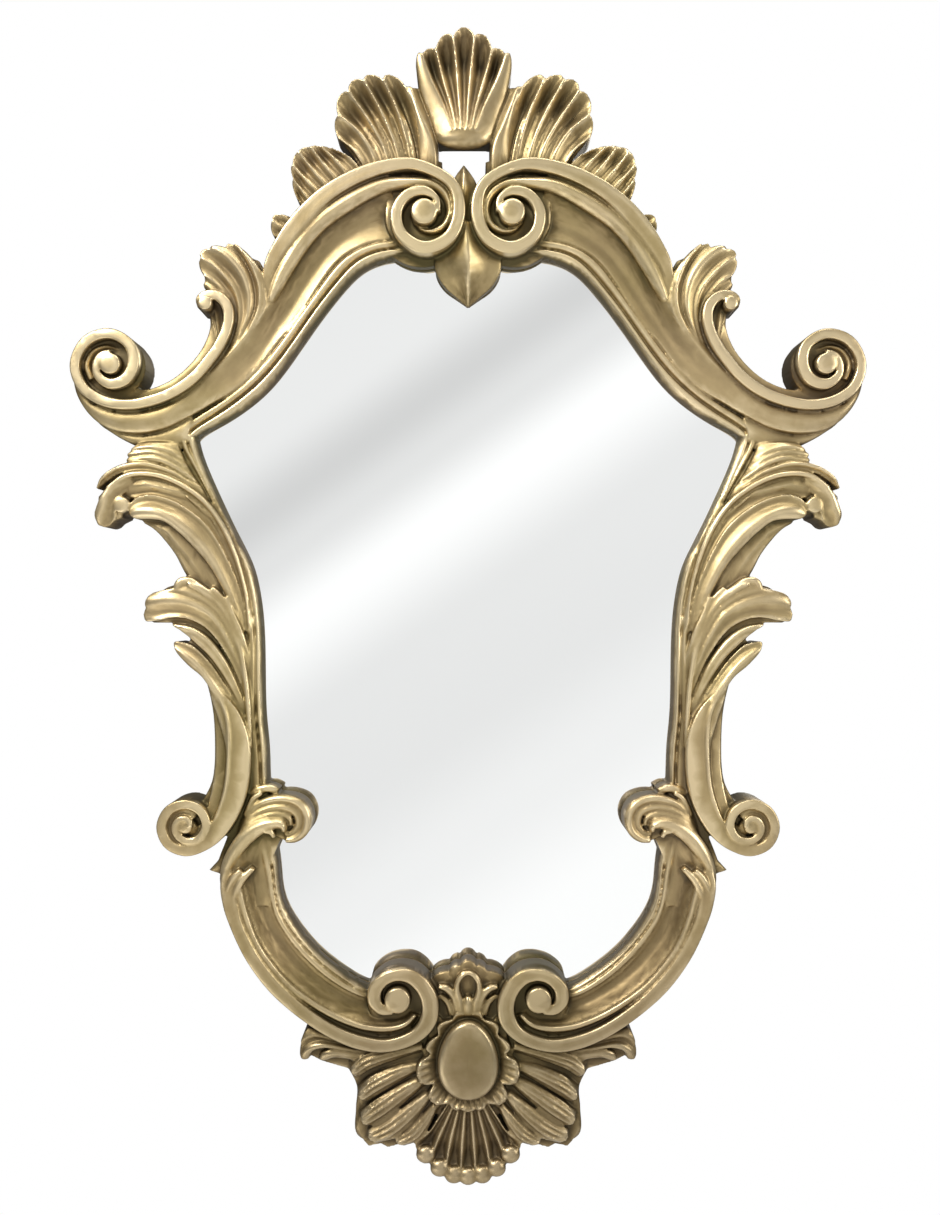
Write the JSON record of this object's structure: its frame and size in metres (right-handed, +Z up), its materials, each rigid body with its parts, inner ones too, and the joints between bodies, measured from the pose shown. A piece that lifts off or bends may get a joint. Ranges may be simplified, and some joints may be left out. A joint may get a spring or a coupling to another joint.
{
  "type": "carved wall mirror",
  "caption": "Tall wall mirror in a carved scroll frame with volutes, side leaves, a pierced shell crest and an oval cartouche over a shell foot.",
  "frame": {"origin": "on the back face of the keyhole hanger plate at the top centre, 2.5 mm above the top of its slot, in the plane that meets the wall", "axes": "+Z up along the mirror's height, +Y into the wall, +X to the viewer's right; the carving and the glass face -Y"},
  "size_m": [0.7478, 0.0495, 1.0957],
  "materials": {
    "gilt_wood": "carved wood in satin champagne gold paint, darker olive brown in the recesses",
    "silvered_glass": "clear silvered mirror glass",
    "fibre_board": "plain brown fibre board",
    "zinc_steel": "bright zinc plated steel",
    "screw_steel": "plain steel screw"
  },
  "bodies": {
    "root": {"carved_frame": "gilt_wood", "mirror_glass": "silvered_glass", "backing_board": "fibre_board", "hanger_plate": "zinc_steel", "hanger_screw_top": "screw_steel", "hanger_screw_bottom": "screw_steel"}
  },
  "joints": []
}
